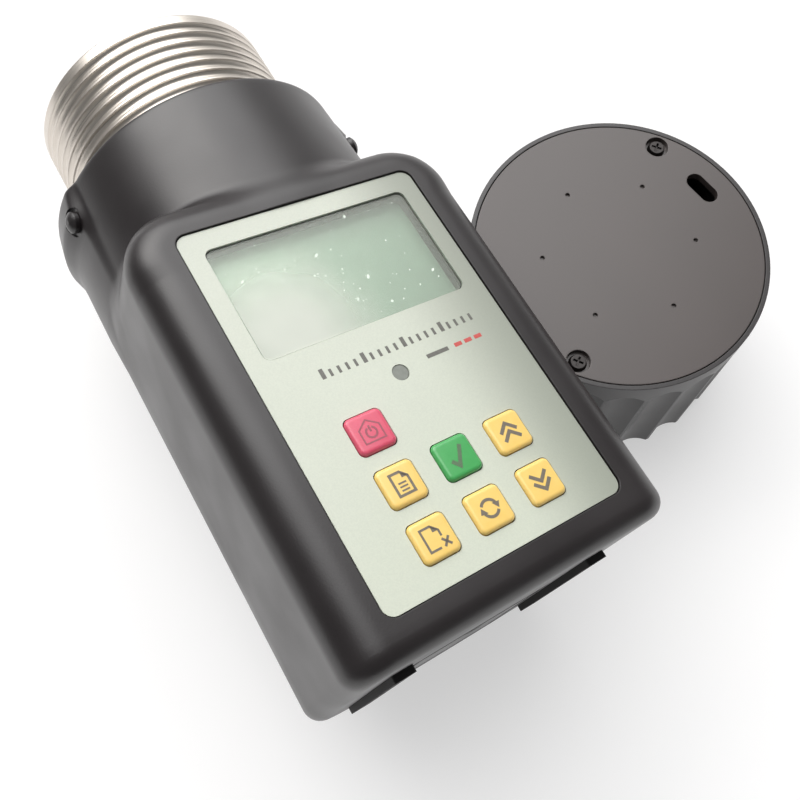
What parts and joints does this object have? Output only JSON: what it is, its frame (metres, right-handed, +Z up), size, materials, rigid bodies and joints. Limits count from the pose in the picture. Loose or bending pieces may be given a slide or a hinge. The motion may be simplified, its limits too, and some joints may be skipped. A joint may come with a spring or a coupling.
{
  "type": "grain moisture meter",
  "caption": "Handheld grain moisture meter with keypad and display, a threaded metal measuring chamber, and its fluted screw cap off beside it.",
  "frame": {"origin": "middle of the whole footprint, on the table", "axes": "+Z up; +Y along the meter from its bottom end to the chamber mouth; +X from the meter to the cap"},
  "size_m": [0.1982, 0.1968, 0.1046],
  "materials": {
    "black_abs": "fine satin texture",
    "label_print": "velvet printed film",
    "clear_plate": "clear",
    "foam": "matt",
    "lcd_glass": "polariser film over glass",
    "backlight_white": "diffusing",
    "lens_smoke": "translucent",
    "board_green": "solder mask",
    "steel": "bright zinc",
    "screw_black": "black oxide",
    "switch_black": "matt",
    "key_red": "silicone rubber, satin",
    "key_green": "silicone rubber, satin",
    "key_yellow": "silicone rubber, satin",
    "anodised": "satin turned",
    "gasket_black": "matt",
    "phenolic": "matt",
    "stainless": "polished",
    "brass_nut": "plain",
    "contact_spring": "nickel plate",
    "cell_wrap": "printed sleeve",
    "lead_red": "PVC",
    "lead_white": "PVC",
    "disc_taupe": "satin",
    "seal_red": "silicone"
  },
  "bodies": {
    "meter": {"main_housing": "black_abs", "rear_cover": "black_abs", "cover_screws": "screw_black", "face_label": "label_print", "display_window": "clear_plate", "display_gasket": "foam", "lcd_panel": "lcd_glass", "lcd_backlight": "backlight_white", "status_lens": "lens_smoke", "main_board": "board_green", "board_screws": "steel", "key_switches": "switch_black", "chamber_ring": "anodised", "ring_gasket": "gasket_black", "ring_screws": "steel", "chamber_base": "phenolic", "base_screws": "steel", "centre_electrode": "stainless", "electrode_nut": "brass_nut", "temperature_probe": "stainless", "strap_studs": "black_abs", "left_foot": "gasket_black", "right_foot": "gasket_black", "battery_bay": "switch_black", "bay_screws": "steel", "bay_contacts": "contact_spring", "batteries": "cell_wrap", "battery_leads": "lead_red", "sensor_leads": "lead_white"},
    "power_key": {"power_key": "key_red"},
    "record_key": {"record_key": "key_yellow"},
    "delete_key": {"delete_key": "key_yellow"},
    "confirm_key": {"confirm_key": "key_green"},
    "repeat_key": {"repeat_key": "key_yellow"},
    "up_key": {"up_key": "key_yellow"},
    "down_key": {"down_key": "key_yellow"},
    "battery_door": {"battery_door": "black_abs", "door_contacts": "contact_spring"},
    "cap": {"cap_shell": "black_abs", "cap_disc": "disc_taupe", "cap_screws": "screw_black", "cap_seal": "seal_red", "pressure_spring": "contact_spring"},
    "pressure_plate": {"pressure_plate": "phenolic", "plate_washer": "steel", "plate_screw": "steel"}
  },
  "joints": [
    {"name": "power_press", "type": "slide", "parent": "meter", "child": "power_key", "axis": [-0.2807, 0, -0.9598], "range_m": [0, 0.0005], "stiffness_N_per_m": 1200},
    {"name": "record_press", "type": "slide", "parent": "meter", "child": "record_key", "axis": [-0.2807, 0, -0.9598], "range_m": [0, 0.0005], "stiffness_N_per_m": 1200},
    {"name": "delete_press", "type": "slide", "parent": "meter", "child": "delete_key", "axis": [-0.2807, 0, -0.9598], "range_m": [0, 0.0005], "stiffness_N_per_m": 1200},
    {"name": "confirm_press", "type": "slide", "parent": "meter", "child": "confirm_key", "axis": [-0.2807, 0, -0.9598], "range_m": [0, 0.0005], "stiffness_N_per_m": 1200},
    {"name": "repeat_press", "type": "slide", "parent": "meter", "child": "repeat_key", "axis": [-0.2807, 0, -0.9598], "range_m": [0, 0.0005], "stiffness_N_per_m": 1200},
    {"name": "up_press", "type": "slide", "parent": "meter", "child": "up_key", "axis": [-0.2807, 0, -0.9598], "range_m": [0, 0.0005], "stiffness_N_per_m": 1200},
    {"name": "down_press", "type": "slide", "parent": "meter", "child": "down_key", "axis": [-0.2807, 0, -0.9598], "range_m": [0, 0.0005], "stiffness_N_per_m": 1200},
    {"name": "door_pull", "type": "slide", "parent": "meter", "child": "battery_door", "axis": [0, -1, 0], "range_m": [0, 0.06]},
    {"name": "cap_lift", "type": "slide", "parent": "meter", "child": "cap", "axis": [0.2807, 0, 0.9598], "range_m": [0, 0.1]},
    {"name": "plate_push", "type": "slide", "parent": "cap", "child": "pressure_plate", "axis": [0, 0, 1], "range_m": [0, 0.004], "stiffness_N_per_m": 1500, "deforming": ["pressure_spring"]}
  ]
}
